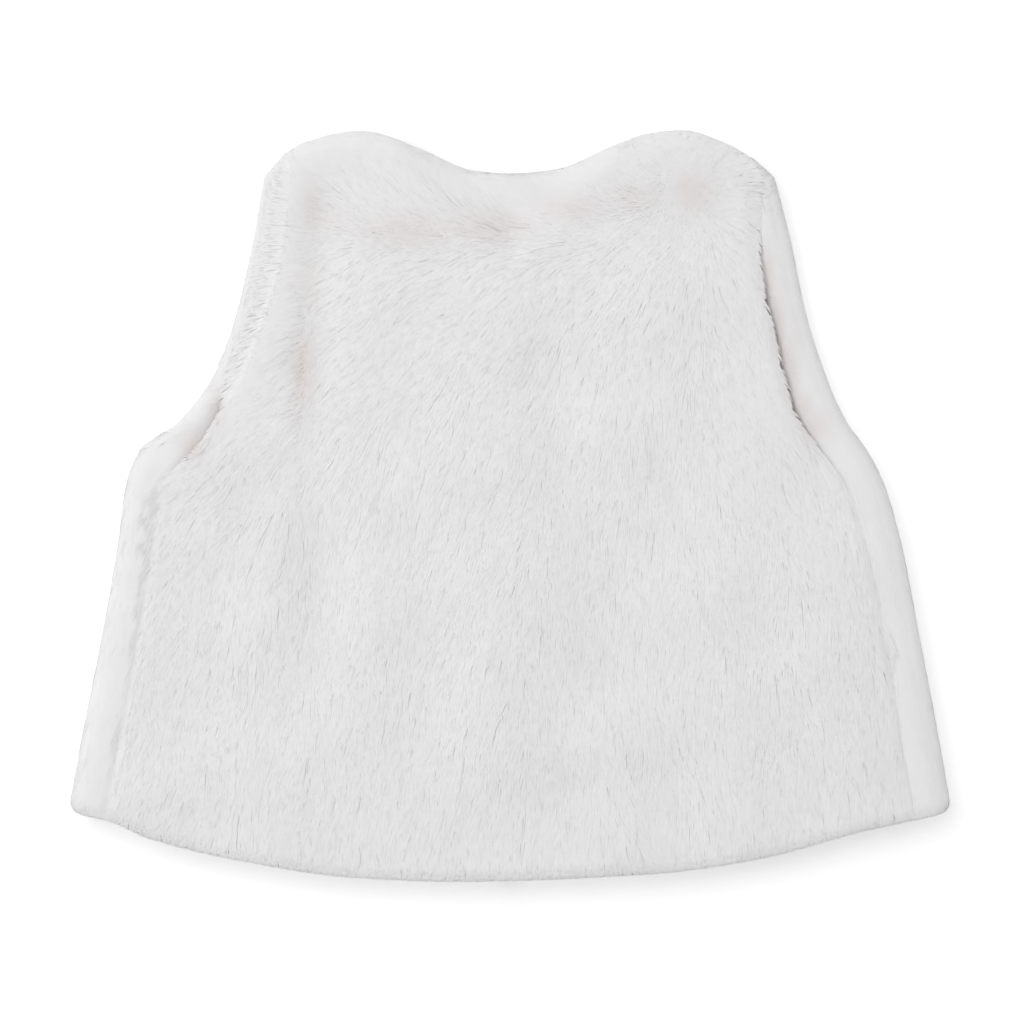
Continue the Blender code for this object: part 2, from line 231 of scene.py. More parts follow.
# Where the warm roots show through the pile, with painted shade that makes it warmer and darker at
# partings, the ridge under the neck and the armhole gaps, from 0 to 1
WARM_AND_SHADED_PLACES = [Patch(*values) for values in (
    (-72, 113, 14, 7, 0.5), (-40, 109, 20, 8, 0.8), (-8, 111, 20, 8, 0.8),
    (24, 118, 16, 7, 0.7), (50, 122, 14, 7, 0.6), (73, 124, 8, 9, 0.9),
    (-78, 118, 5, 12, 0.9), (-80, 88, 5, 14, 0.6), (-82, 54, 6, 18, 0.9),
    (-126, 24, 6, 7, 1), (-117, 38, 4, 9, 0.8), (-106, -4, 8, 14, 0.3),
    (121, 31, 7, 7, 0.9), (117, 38, 4, 8, 0.9), (112, 54, 3.5, 16, 1),
    (107, 72, 3.5, 16, 0.9), (103, 92, 3, 15, 0.8),
)]

# Where the pile lies unevenly: its turn has this much spread, in degrees
RUFFLES = (
    Patch(72, 124, 10, 11, 40),
    Patch(69, 128, 5, 5, 120),
    Patch(-40, 110, 34, 9, 14),
    Patch(24, 116, 34, 9, 14),
    Patch(103, 62, 6, 34, 18),
)
WHORL_FILL = 0.04         # more roots there, for each degree of spread

SEED = 11


def smooth_curve(knots, positions):
    """Read a curve through (position, value) knots that never overshoots them."""
    at, value = np.array(knots, dtype=float).T
    step = np.diff(at)
    slope = np.diff(value) / step
    agree = slope[:-1] * slope[1:] > 0.0
    both = np.where(agree, slope[:-1] + slope[1:], 1.0)
    inner = np.where(agree, 2.0 * slope[:-1] * slope[1:] / both, 0.0)
    tangent = np.concatenate((slope[:1], inner, slope[-1:]))
    place = np.clip(positions, at[0], at[-1])
    index = np.clip(np.searchsorted(at, place) - 1, 0, len(step) - 1)
    share = (place - at[index]) / step[index]
    rest = 1.0 - share
    return (value[index] * (1.0 + 2.0 * share) * rest ** 2
            + value[index + 1] * (1.0 + 2.0 * rest) * share ** 2
            + tangent[index] * step[index] * share * rest ** 2
            - tangent[index + 1] * step[index] * rest * share ** 2)


def smooth_step(share):
    share = np.clip(share, 0.0, 1.0)
    return share * share * (3.0 - 2.0 * share)


def quarter_round(distance, radius, least):
    """Rise from a rounded edge: least at the edge, 1 from one radius inward."""
    share = np.clip(distance / radius, 0.0, 1.0)
    return least + (1.0 - least) * np.sqrt(1.0 - (1.0 - share) ** 2)


def unit(vectors):
    length = np.linalg.norm(vectors, axis=-1, keepdims=True)
    return vectors / np.maximum(length, 1e-9)


def cell_areas(points):
    """Area of each cell in a grid of points."""
    cells = np.cross(points[1:, 1:] - points[:-1, :-1], points[:-1, 1:] - points[1:, :-1])
    return 0.5 * np.linalg.norm(cells, axis=-1)


def coons_patch(bottom, top, left, right, across, along):
    """Fill four edge curves with a grid of points, rows along and columns across."""
    u = across[None, :, None]
    v = along[:, None, None]
    between_ends = (1.0 - v) * bottom[None] + v * top[None]
    between_sides = (1.0 - u) * left[:, None] + u * right[:, None]
    corners = ((1.0 - v) * ((1.0 - u) * bottom[0] + u * bottom[-1])
               + v * ((1.0 - u) * top[0] + u * top[-1]))
    return between_ends + between_sides - corners


# Panel surfaces
RIM_RADIUS = WALL / 2.0
RIM_ROWS = 6              # rows round a quarter of a rounded edge
ROW_SPACING = 1.5
COLUMN_SPACING = 1.9
FIRST, LAST = SECTIONS[0], SECTIONS[-1]
SIDE_LENGTH = LAST.height - FIRST.height


def even_rows(first, last):
    """Row places from first to last, in millimetres up the side, evenly spaced."""
    return np.linspace(first, last, int(round((last - first) / ROW_SPACING)) + 1)


def wrapped_rows():
    """Row places of a whole panel, spaced evenly round both of its rounded ends too."""
    turn = np.linspace(0.5 * np.pi, 0.0, RIM_ROWS + 1)
    rim = RIM_RADIUS * (1.0 - np.sin(turn))
    body = even_rows(RIM_RADIUS, SIDE_LENGTH - RIM_RADIUS)
    return np.concatenate((rim[:-1], body, SIDE_LENGTH - rim[-2::-1]))


# How a surface follows a panel. seam_left: share of the upper half left at a side seam.
# The insets move its side edges in from the panel's own. slant_turn: rows slant over a
# front's whole turned side, not over its strip alone.
Cut = namedtuple("Cut", "seam_left seam_inset armhole_inset slant_turn")
CLOTH_CUT = Cut(SEAM_LEFT, 0.4, 2.4, False)
PILE_CUT = Cut(0.82, 0.0, 0.0, True)
ARMHOLE_OPENS = 1.5       # gap beyond a seam's at which an edge counts as an armhole's


def section_curve(column, heights):
    """One column of SECTIONS, read at some heights."""
    knots = [(section.height, getattr(section, column)) for section in SECTIONS]
    return smooth_curve(knots, heights)


class Rows:
    """Places up the vest's side where its panels are worked out."""

    def __init__(self, places):
        self.places = places
        self.shares = places / SIDE_LENGTH
        self.heights = FIRST.height + places

    def section(self, column):
        return section_curve(column, self.heights)

    def inset(self, cut, side_name):
        """How far a cut ends inside one side of the back, more along the armhole."""
        open_share = smooth_step((self.section(side_name + "_gap") - SEAM_GAP) / ARMHOLE_OPENS)
        return cut.seam_inset + cut.armhole_inset * open_share

    def back_heights(self, back_x):
        """Heights along one edge of the back, which starts and ends on the outline."""
        at_hem = hem_height(back_x[0]) - FIRST.height
        at_neck = neck_height(back_x[1]) - LAST.height
        near_hem = 1.0 - smooth_step((self.heights - FIRST.height) / CORNER_REACH)
        near_neck = 1.0 - smooth_step((LAST.height - self.heights) / CORNER_REACH)
        return self.heights + at_hem * near_hem + at_neck * near_neck


def outline_height(section, knots, across):
    """Height of the outline's end between the corners that a section gives."""
    left = (section.left_edge, section.height)
    right = (section.right_edge, section.height)
    return smooth_curve((left, *knots, right), across)


def hem_height(across):
    return outline_height(FIRST, HEM, across)


def neck_height(across):
    return outline_height(LAST, NECK, across)


def shoulder_share(across):
    """0 along the neck, 1 along the shoulder seams."""
    past_neck = np.abs(across) - NECK_HALF_WIDTH + SHOULDER_BLEND
    return smooth_step(past_neck / (2.0 * SHOULDER_BLEND))


def back_ends(side_name):
    """Where one edge of the back starts at the hem and ends at the neck."""
    return getattr(FIRST, side_name + "_back"), getattr(LAST, side_name + "_back")


def front_neckline(side):
    """The lowest point and the neck point's height of one front's neckline."""
    neck_point = float(neck_height(np.array(side * NECK_HALF_WIDTH)))
    return neck_point - FRONT_NECK_DROP, neck_point


def neck_sag(x, y):
    """How far the back sinks above the front neckline, where nothing is under it."""
    lowest, _ = front_neckline(1.0)
    bow = (np.abs(x) / NECK_HALF_WIDTH) ** (1.0 / FRONT_NECK_BOW)
    beyond = y - (lowest + FRONT_NECK_DROP * bow)
    return NECK_SAG * smooth_step(beyond / NECK_SAG_REACH)


def beside_line(line, x, y, fade):
    """Distance to the right of a line that runs down the vest, and its strength there."""
    run = np.array((line.end_x - line.start_x, line.end_y - line.start_y))
    length = np.hypot(*run)
    run_x, run_y = run / length
    from_x = x - line.start_x
    from_y = y - line.start_y
    along = (from_x * run_x + from_y * run_y) / length
    aside = from_y * run_x - from_x * run_y
    fade_in = smooth_step(0.5 + along / fade)
    fade_out = smooth_step(0.5 + (1.0 - along) / fade)
    return aside, fade_in * fade_out * np.exp(-(aside / line.half_width) ** 2)


def fold_height(x, y):
    """Sum of the soft troughs and ridges at each point of the back."""
    total = np.zeros_like(x)
    for fold in FOLDS:
        _, strength = beside_line(fold, x, y, FOLD_FADE)
        total += fold.height * strength
    return total


def back_points(rows, cut):
    """Inner and outer points of the back, which lies on both fronts."""
    left_x = rows.section("left_back") + rows.inset(cut, "left")
    right_x = rows.section("right_back") - rows.inset(cut, "right")
    column_count = int((right_x[0] - left_x[0]) / COLUMN_SPACING)
    columns = np.linspace(0.0, 1.0, column_count)
    hem_ends = FIRST.left_back + cut.seam_inset, FIRST.right_back - cut.seam_inset
    neck_ends = LAST.left_back + cut.seam_inset, LAST.right_back - cut.seam_inset
    hem_x = hem_ends[0] + columns * (hem_ends[1] - hem_ends[0])
    neck_x = neck_ends[0] + columns * (neck_ends[1] - neck_ends[0])
    left_y = rows.back_heights(back_ends("left"))
    right_y = rows.back_heights(back_ends("right"))
    plan = coons_patch(
        np.column_stack((hem_x, hem_height(hem_x))),
        np.column_stack((neck_x, neck_height(neck_x))),
        np.column_stack((left_x, left_y)),
        np.column_stack((right_x, right_y)),
        columns, rows.shares)
    x, y = plan[..., 0], plan[..., 1]

    from_hem = rows.places[:, None]
    from_neck = SIDE_LENGTH - from_hem
    width = (right_x - left_x)[:, None]
    from_side = np.minimum(columns, 1.0 - columns)[None] * width
    shoulder = shoulder_share(x)
    neck_round = quarter_round(from_neck, RIM_RADIUS, RIM_LEFT)
    rim = quarter_round(from_hem, RIM_RADIUS, RIM_LEFT)
    rim = rim * (neck_round + (1.0 - neck_round) * shoulder)
    closing = quarter_round(from_neck, WALL, SHOULDER_LEFT)
    closing = 1.0 - (1.0 - closing) * shoulder
    seam = quarter_round(from_side, SEAM_DIP_WIDTH, cut.seam_left)

    base = WALL + LAYER_GAP - neck_sag(x, y)
    inner_z = base + WALL * (0.5 - 0.5 * rim) * closing
    outer_z = base + WALL * (0.5 + 0.5 * rim * seam) * closing
    outer_z = outer_z + fold_height(x, y) * rim * seam * closing
    return np.dstack((x, y, inner_z)), np.dstack((x, y, outer_z))


TURN_COLUMNS = 20         # round a front's turned side
STRIP_COLUMNS = 8         # over its strip


def front_points(rows, cut, name, side):
    """Inner and outer points of a front: lower wall, turned side and strip.

    Distances across are counted outward from the middle, whichever side it is.
    """
    edge = side * rows.section(name + "_edge")
    back_x = rows.section(name + "_back")
    strip_end = side * back_x + rows.section(name + "_gap") + rows.inset(cut, name)
    loft = WALL * rows.section("loft")
    rim = quarter_round(rows.places, RIM_RADIUS, RIM_LEFT)
    closing = quarter_round(SIDE_LENGTH - rows.places, WALL, SHOULDER_LEFT)
    turn_x = edge - LAYER_GAP / 2.0 - loft * closing
    turn_z = loft + LAYER_GAP / 2.0
    hem_turn = side * getattr(FIRST, name + "_edge") - LAYER_GAP / 2.0 - WALL * FIRST.loft
    neck_turn = side * getattr(LAST, name + "_edge") - LAYER_GAP / 2.0

    # Lower wall, from the centre front and neckline out to the turned side
    columns = np.linspace(0.0, 1.0, int(hem_turn / COLUMN_SPACING))
    lowest, neck_point = front_neckline(side)
    hem_middle = float(hem_height(np.array(0.0)))
    centre_y = hem_middle + rows.shares * (neck_point - hem_middle)
    up_neckline = np.clip((centre_y - lowest) / FRONT_NECK_DROP, 0.0, 1.0)
    centre_x = SEAM_GAP / 2.0 + (NECK_HALF_WIDTH - SEAM_GAP / 2.0) * up_neckline ** FRONT_NECK_BOW
    hem_x = SEAM_GAP / 2.0 + columns * (hem_turn - SEAM_GAP / 2.0)
    neck_x = NECK_HALF_WIDTH + columns * (neck_turn - NECK_HALF_WIDTH)
    plan = coons_patch(
        np.column_stack((hem_x, hem_height(side * hem_x))),
        np.column_stack((neck_x, neck_height(side * neck_x))),
        np.column_stack((centre_x, centre_y)),
        np.column_stack((turn_x, rows.heights)),
        columns, rows.shares)
    width = (turn_x - centre_x)[:, None]
    centre_rim = quarter_round(columns[None] * width, RIM_RADIUS, RIM_LEFT)
    lower_rim = rim[:, None] * centre_rim
    thick = WALL + (loft[:, None] - WALL) * smooth_step(columns[None])
    lower_inner = thick * (1.0 - (0.5 - 0.5 * lower_rim) * closing[:, None])
    lower_outer = thick * (1.0 - (0.5 + 0.5 * lower_rim) * closing[:, None])

    # Turned side, half round from the lower wall's end up to the strip
    angle = np.linspace(-0.5, 0.5, TURN_COLUMNS + 1)[None, 1:] * np.pi
    inner_reach = loft * (0.5 - 0.5 * rim) * closing + LAYER_GAP / 2.0
    outer_reach = loft * (0.5 + 0.5 * rim) * closing + LAYER_GAP / 2.0
    hollow = (FOLD_HOLLOW * rim * closing)[:, None] * np.cos(angle) ** 2
    inner_radius = inner_reach[:, None] + hollow
    outer_radius = np.repeat(outer_reach[:, None], TURN_COLUMNS, axis=1)

    # Strip, from the turned side's top in to the seam or the armhole
    share = np.linspace(0.0, 1.0, STRIP_COLUMNS + 1)[None, 1:]
    seam_y = rows.back_heights(back_ends(name))
    strip_x = turn_x[:, None] + (strip_end - turn_x)[:, None] * share
    slant_start = edge if cut.slant_turn else turn_x
    slant_width = slant_start - strip_end

    def slanted(across):
        """Heights at places between the outline and the seam."""
        inward = np.clip((slant_start[:, None] - across) / slant_width[:, None], 0.0, 1.0)
        return rows.heights[:, None] + (seam_y - rows.heights)[:, None] * inward

    dip = quarter_round(1.0 - share, 1.0, cut.seam_left)
    strip_inner = np.repeat((turn_z + inner_reach)[:, None], STRIP_COLUMNS, axis=1)
    strip_outer = turn_z[:, None] + LAYER_GAP / 2.0 + (
        loft[:, None] * (0.5 + 0.5 * rim[:, None] * dip) * closing[:, None])

    def joined(lower_z, radius, strip_z):
        turn_across = turn_x[:, None] + radius * np.cos(angle)
        turn_height = turn_z[:, None] + radius * np.sin(angle)
        x = np.hstack((plan[..., 0], turn_across, strip_x))
        turn_y = np.where(angle > 0.0, slanted(turn_across), rows.heights[:, None])
        y = np.hstack((plan[..., 1], turn_y, slanted(strip_x)))
        return np.dstack((side * x, y, np.hstack((lower_z, turn_height, strip_z))))

    return (joined(lower_inner, inner_radius, strip_inner),
            joined(lower_outer, outer_radius, strip_outer))


# Fur surfaces
# Steps out and down past a panel's side edge: the back's pile hangs over an open gap,
# the fronts' pile turns down into it.
OVERHANG = ((1.2, 0.3), (2.4, 0.8), (3.4, 1.6), (4.2, 2.6), (4.8, 3.8))
TURN_IN = ((0.9, 0.2), (1.8, 0.5), (2.6, 1.0), (3.3, 1.8), (3.9, 2.8))
APRON_COLUMNS = len(OVERHANG)
COVERED = (3, 6, 9, 12, 14)   # a front's columns, from its end, that the back's pile lies over
COVER_LIFT = 0.4          # how far it lies above them
SHOULDER_HANG = 3.2       # how far it hangs down past a shoulder seam
COVER_GAP = 1.0           # widest gap that the back's pile covers in full
COVER_FADE = 1.6          # a gap wider than that by this much stays open


class FurSurface:
    """A panel's combed surface as a grid, with what is needed to walk along it."""

    def __init__(self, points, outward):
        self.points = points
        self.across = np.gradient(points, axis=1)
        self.along = np.gradient(points, axis=0)
        self.normals = outward * unit(np.cross(self.across, self.along))
        self.rows, self.columns = points.shape[:2]
        self.cell_area = cell_areas(points)

    def read(self, grid, place):
        """Read a grid between its points. place holds (column, row) pairs."""
        column = np.clip(place[:, 0].astype(int), 0, self.columns - 2)
        row = np.clip(place[:, 1].astype(int), 0, self.rows - 2)
        right = np.clip(place[:, 0] - column, 0.0, 1.0)[:, None]
        up = np.clip(place[:, 1] - row, 0.0, 1.0)[:, None]
        low = grid[row, column] * (1.0 - right) + grid[row, column + 1] * right
        high = grid[row + 1, column] * (1.0 - right) + grid[row + 1, column + 1] * right
        return low * (1.0 - up) + high * up

    def scatter(self, count, density, rng):
        """Places spread evenly over the area, thinned by a density for each cell."""
        weight = np.cumsum((self.cell_area * density).ravel())
        picks = (np.arange(count) + rng.random(count)) / count * weight[-1]
        cell = np.minimum(np.searchsorted(weight, picks), weight.size - 1)
        row, column = np.divmod(cell, self.columns - 1)
        return np.column_stack((column + rng.random(count), row + rng.random(count)))

    def walk(self, place, angle, distance):
        """Move places along the surface, at an angle from straight down the vest."""
        normal = unit(self.read(self.normals, place))
        droop = DROOP + EDGE_DROOP * normal[:, 1] ** 2
        heading = np.column_stack((np.sin(angle), -np.cos(angle), -droop))
        heading = unit(heading - normal * np.sum(heading * normal, axis=1, keepdims=True))
        across = self.read(self.across, place)
        along = self.read(self.along, place)
        # Shares of the two grid steps that together make one millimetre of the heading
        aa = np.sum(across * across, axis=1)
        bb = np.sum(along * along, axis=1)
        ab = np.sum(across * along, axis=1)
        ha = np.sum(across * heading, axis=1)
        hb = np.sum(along * heading, axis=1)
        det = np.maximum(aa * bb - ab * ab, 1e-6)
        columns = (ha * bb - hb * ab) / det
        rows = (hb * aa - ha * ab) / det
        moved = place + np.column_stack((columns, rows)) * distance[:, None]
        return np.clip(moved, 0.0, (self.columns - 1.0, self.rows - 1.0))


def wrap_ends(inner, outer, neck_too):
    """The outer surface carried round the panel's rounded hem, and its neck too."""
    hem = inner[RIM_ROWS:0:-1]
    parts = [hem, outer]
    if neck_too:
        parts.append(inner[-2:-RIM_ROWS - 2:-1])
    return np.concatenate(parts)


def with_apron(points, profile, at_start, outward, cover=None, shut=0.0):
    """Carry the surface over one of the panel's side edges, out and down.

    Where the gap beside it is shut, it lies on the cover, the columns past the gap.
    """
    edge = points[:, :1] if at_start else points[:, -1:]
    strips = []
    for index, (out, down) in enumerate(profile):
        strip = edge + np.array((outward * out, 0.0, -down))
        if cover is not None:
            strip = strip + (cover[index] - strip) * shut[:, None, None]
        strips.append(strip)
    if at_start:
        return np.concatenate((*strips[::-1], points), axis=1)
    return np.concatenate((points, *strips), axis=1)


def hang_at_shoulders(points):
    """Let the back's surface hang past the shoulder seams, where it would turn under."""
    edge = points[-RIM_ROWS - 1]
    shoulder = shoulder_share(edge[:, 0])[:, None]
    hung = points.copy()
    for step in range(1, RIM_ROWS + 1):
        row = step - RIM_ROWS - 1
        hanging = edge - np.array((0.0, 0.0, SHOULDER_HANG * step / RIM_ROWS))
        hung[row] += (hanging - hung[row]) * shoulder
    return hung


def shut_share(gap):
    """How far the back's pile covers a gap beside it, from 0 to 1."""
    return 1.0 - smooth_step((gap - COVER_GAP) / COVER_FADE)


def cover_of(rows, name, side):
    """Columns of a front's strip that the back's pile can lie over, and how far it does."""
    inner, outer = front_points(rows, PILE_CUT, name, side)
    wrapped = wrap_ends(inner, outer, neck_too=True)
    columns = []
    for index in COVERED:
        column = wrapped[:, -1 - index:wrapped.shape[1] - index]
        columns.append(column + np.array((0.0, 0.0, COVER_LIFT)))
    shut = shut_share(rows.section(name + "_gap"))
    return columns, np.concatenate((np.repeat(shut[:1], RIM_ROWS), shut,
                                    np.repeat(shut[-1:], RIM_ROWS)))


# Lie of the pile
def guide_heading(x, y):
    """Direction of the combed pile on the back, blended from the guides."""
    total_x = np.zeros_like(x)
    total_y = np.zeros_like(y)
    for guide in GUIDES:
        square = (x - guide.x) ** 2 + (y - guide.y) ** 2
        weight = np.exp(-square / (2.0 * GUIDE_REACH ** 2)) + FAR_WEIGHT / (1.0 + square)
        angle = np.radians(guide.angle)
        total_x += weight * np.sin(angle)
        total_y -= weight * np.cos(angle)
    return np.arctan2(total_x, -total_y)


def parting_turn(x, y):
    total = np.zeros_like(x)
    for parting in PARTINGS:
        aside, strength = beside_line(parting, x, y, FOLD_FADE)
        total += np.radians(parting.turn) * np.tanh(PARTING_SHARPNESS * aside) * strength
    return total


def back_angle(points):
    x, y = points[:, 0], points[:, 1]
    return guide_heading(x, y) + parting_turn(x, y)


def front_angle(side):
    def angle(points):
        return side * np.radians(smooth_curve(SIDE_LEAN, points[:, 1]))
    return angle


def back_calm(points):
    """Share of the pile's unevenness at each point of the back, least in smooth bands."""
    x, y = points[:, 0], points[:, 1]
    from_neck = smooth_step((neck_height(x) - y - CALM_NECK) / CALM_REACH)
    edge = section_curve("left_back", y)
    from_side = smooth_step((x - edge - CALM_ARMHOLE) / CALM_REACH)
    foot = smooth_step((ARMHOLE_FOOT - y) / CALM_REACH)
    smooth = from_neck * np.maximum(from_side, foot)
    return CALM_LEAST + (1.0 - CALM_LEAST) * smooth


def front_calm(points):
    below = smooth_step((ARMHOLE_FOOT - CALM_REACH - points[:, 1]) / CALM_REACH)
    on_top = smooth_step((points[:, 2] - WALL) / WALL)
    return CALM_LEAST + (CALM_STRIP - CALM_LEAST) * below * on_top


def strongest(patches, points):
    """The largest amount of some patches at each point."""
    total = np.zeros(len(points))
    for patch in patches:
        across = (points[:, 0] - patch.x) / patch.reach_x
        along = (points[:, 1] - patch.y) / patch.reach_y
        total = np.maximum(total, patch.amount * np.exp(-across ** 2 - along ** 2))
    return total


def ruffle_spread(points):
    return np.radians(strongest(RUFFLES, points))


def warmth_and_shade(points):
    return strongest(WARM_AND_SHADED_PLACES, points)


def ragged_length(roots, angle, reach):
    """Longest strand from each root that ends at its reach past an open armhole."""
    longest = np.full(len(roots), 2.0 * STRAND_LENGTH)
    for name, side, ragged in (("left", -1.0, RAGGED_LEFT), ("right", 1.0, RAGGED_RIGHT)):
        edge = section_curve(name + "_back", roots[:, 1])
        shut = shut_share(section_curve(name + "_gap", roots[:, 1]))
        outward = np.maximum(side * np.sin(angle), LEAST_OUTWARD)
        room = (side * (edge - roots[:, 0]) + ragged * reach) / outward
        longest = np.minimum(longest, room + STRAND_LENGTH * shut)
    return np.maximum(longest, SHORT_STRAND)


def soft_noise(places, size, rng, waves=7):
    """A smooth random value for each place, about -1 to 1, that varies over a size."""
    total = np.zeros(len(places))
    for _ in range(waves):
        turn = rng.uniform(0.0, 2.0 * np.pi)
        pitch = size * rng.uniform(*WAVE_RANGE)
        phase = rng.uniform(0.0, 2.0 * np.pi)
        run = places[:, 0] * np.cos(turn) + places[:, 1] * np.sin(turn)
        total += np.sin(2.0 * np.pi * run / pitch + phase)
    return total / np.sqrt(0.5 * waves)


class Locks:
    """Locks of strands that lie along the pile, and the one that each root is in."""

    def __init__(self, surface, density, angle_of, roots, rng):
        area = float((surface.cell_area * density).sum())
        self.count = int(area / (LOCK_WIDTH * LOCK_LENGTH))
        tree = KDTree(self.count * LOCK_STEPS)
        here = surface.scatter(self.count, density, rng)
        step = np.full(self.count, LOCK_LENGTH / LOCK_STEPS)
        spines = []
        for _ in range(LOCK_STEPS):
            points = surface.read(surface.points, here)
            spines.append(points)
            here = surface.walk(here, angle_of(points), step)
        spines = np.concatenate(spines)
        for index, point in enumerate(spines.tolist()):
            tree.insert(point, index)
        tree.balance()
        nearest = np.array([tree.find(root)[1] for root in roots.tolist()])
        self.owner = nearest % self.count
        self.pull = spines[nearest] - roots

    def spread(self, values):
        """Give each strand the value of its lock."""
        return values[self.owner]


Pile = namedtuple("Pile", "centres sides facing tone warm")


def comb(surface, density, count, angle_of, calm_of, rng, ragged=False):
    """Lay strands along the pile, from roots spread over the surface."""
    here = surface.scatter(count, density, rng)
    roots = surface.read(surface.points, here)
    locks = Locks(surface, density, angle_of, roots, rng)
    calm = calm_of(roots)
    lock_turn = locks.spread(rng.normal(0.0, 1.0, locks.count))
    strand_turn = rng.normal(0.0, 1.0, count)
    drift = soft_noise(roots, DRIFT_SIZE, rng)
    turn = LOCK_TURN * lock_turn + STRAND_TURN * strand_turn + DRIFT_TURN * drift
    ruffled = RUFFLE_SHARE * lock_turn + RUFFLE_SHARE * strand_turn
    turn = calm * np.radians(turn) + ruffle_spread(roots) * ruffled
    angle = angle_of(roots) + turn
    length = 1.0 + LENGTH_SPREAD * locks.spread(rng.normal(size=locks.count))
    length = length + rng.normal(0.0, LENGTH_SPREAD, count)
    length = STRAND_LENGTH * np.clip(length, *LENGTH_RANGE)
    if ragged:
        reach = RAGGED_LOCKS * locks.spread(rng.random(locks.count))
        reach = reach + (1.0 - RAGGED_LOCKS) * rng.random(count)
        length = np.minimum(length, ragged_length(roots, angle, reach))
    shallow = np.clip(1.0 + SHALLOW_FROM - ruffle_spread(roots), SHALLOW_LEAST, 1.0)
    root_depth = PILE_DEPTH * calm * shallow
    lift = locks.spread(rng.uniform(0.0, 1.0, locks.count))
    tip_depth = calm * (LOCK_LIFT * lift + rng.normal(0.0, STRAND_LIFT, count))
    lock_roll = locks.spread(rng.normal(0.0, LOCK_ROLL, locks.count))
    roll = calm * (lock_roll + rng.normal(0.0, STRAND_ROLL, count))
    tone = STRAND_TONE * rng.normal(size=count)
    tone = tone + LOCK_TONE * locks.spread(rng.normal(size=locks.count))
    tone = tone + CLOUD_TONE * soft_noise(roots, CLOUD_SIZE, rng)
    tone = np.clip(0.5 + calm * tone, 0.0, 1.0)

    step = length / (STRAND_JOINTS * STEPS_PER_JOINT)
    centres = np.zeros((count, STRAND_JOINTS + 1, 3))
    normals = np.zeros_like(centres)
    for joint in range(STRAND_JOINTS + 1):
        share = joint / STRAND_JOINTS
        depth = tip_depth + (root_depth - tip_depth) * (1.0 - share) ** 2
        normals[:, joint] = unit(surface.read(surface.normals, here))
        steepness = 1.0 - np.maximum(normals[:, joint, 2], 0.0)
        depth = depth - EDGE_LIFT * (lift - LIFT_MIDDLE) * steepness
        centres[:, joint] = surface.read(surface.points, here) - normals[:, joint] * depth[:, None]
        centres[:, joint] += locks.pull * (LOCK_PULL * share * calm)[:, None]
        if joint < STRAND_JOINTS:
            for _ in range(STEPS_PER_JOINT):
                wanted = angle_of(surface.read(surface.points, here)) + turn
                change = (wanted - angle + np.pi) % (2.0 * np.pi) - np.pi
                angle = angle + np.clip(change, -MOST_BEND, MOST_BEND)
                here = surface.walk(here, angle, step)
    centres[..., 2] = np.maximum(centres[..., 2], FLOOR_GAP)

    along_strand = unit(np.gradient(centres, axis=1))
    level = unit(np.cross(along_strand, normals))
    raised = np.cross(level, along_strand)
    sides = level * np.cos(roll)[:, None, None] + raised * np.sin(roll)[:, None, None]
    facing = unit(np.cross(sides, along_strand))
    lit = normals.copy()
    upper = smooth_step((centres[..., 2] - LIT_FOOT) / LIT_RISE)
    steep = upper * smooth_step((LIT_LEVEL - lit[..., 2]) / LIT_FADE)
    lit[..., 2] = np.maximum(lit[..., 2], LIT_UPWARD * upper)
    away = lit[..., 0] * LIT_FROM[0] + lit[..., 1] * LIT_FROM[1] < 0.0
    lit[..., :2] *= np.where(away, 1.0 + (LIT_AWAY - 1.0) * steep, 1.0)[..., None]
    facing = unit(unit(lit) * LIT_SHARE + facing * (1.0 - LIT_SHARE))
    # warm roots and painted shade, warmer and darker, at partings, the neck ridge and the armhole
    # gaps
    warm = warmth_and_shade(centres.reshape(-1, 3)).reshape(count, STRAND_JOINTS + 1)
    return Pile(centres, sides, facing, tone, warm)


# Meshes
WIDTH_PROFILE = (0.8, 1.0, 0.8)  # a strand's width at each joint before its point
CELL_SIDE = 0.2           # a strand's margins in its cell of the map for baking
CELL_END = 0.12


def add_masks(mesh, masks):
    """Store the masks that the finishes read: share along a strand, tone, and warmth with painted
    shade.
    """
    layer = mesh.attributes.new("pile", "FLOAT_COLOR", "POINT")
    layer.data.foreach_set("color", masks.ravel())


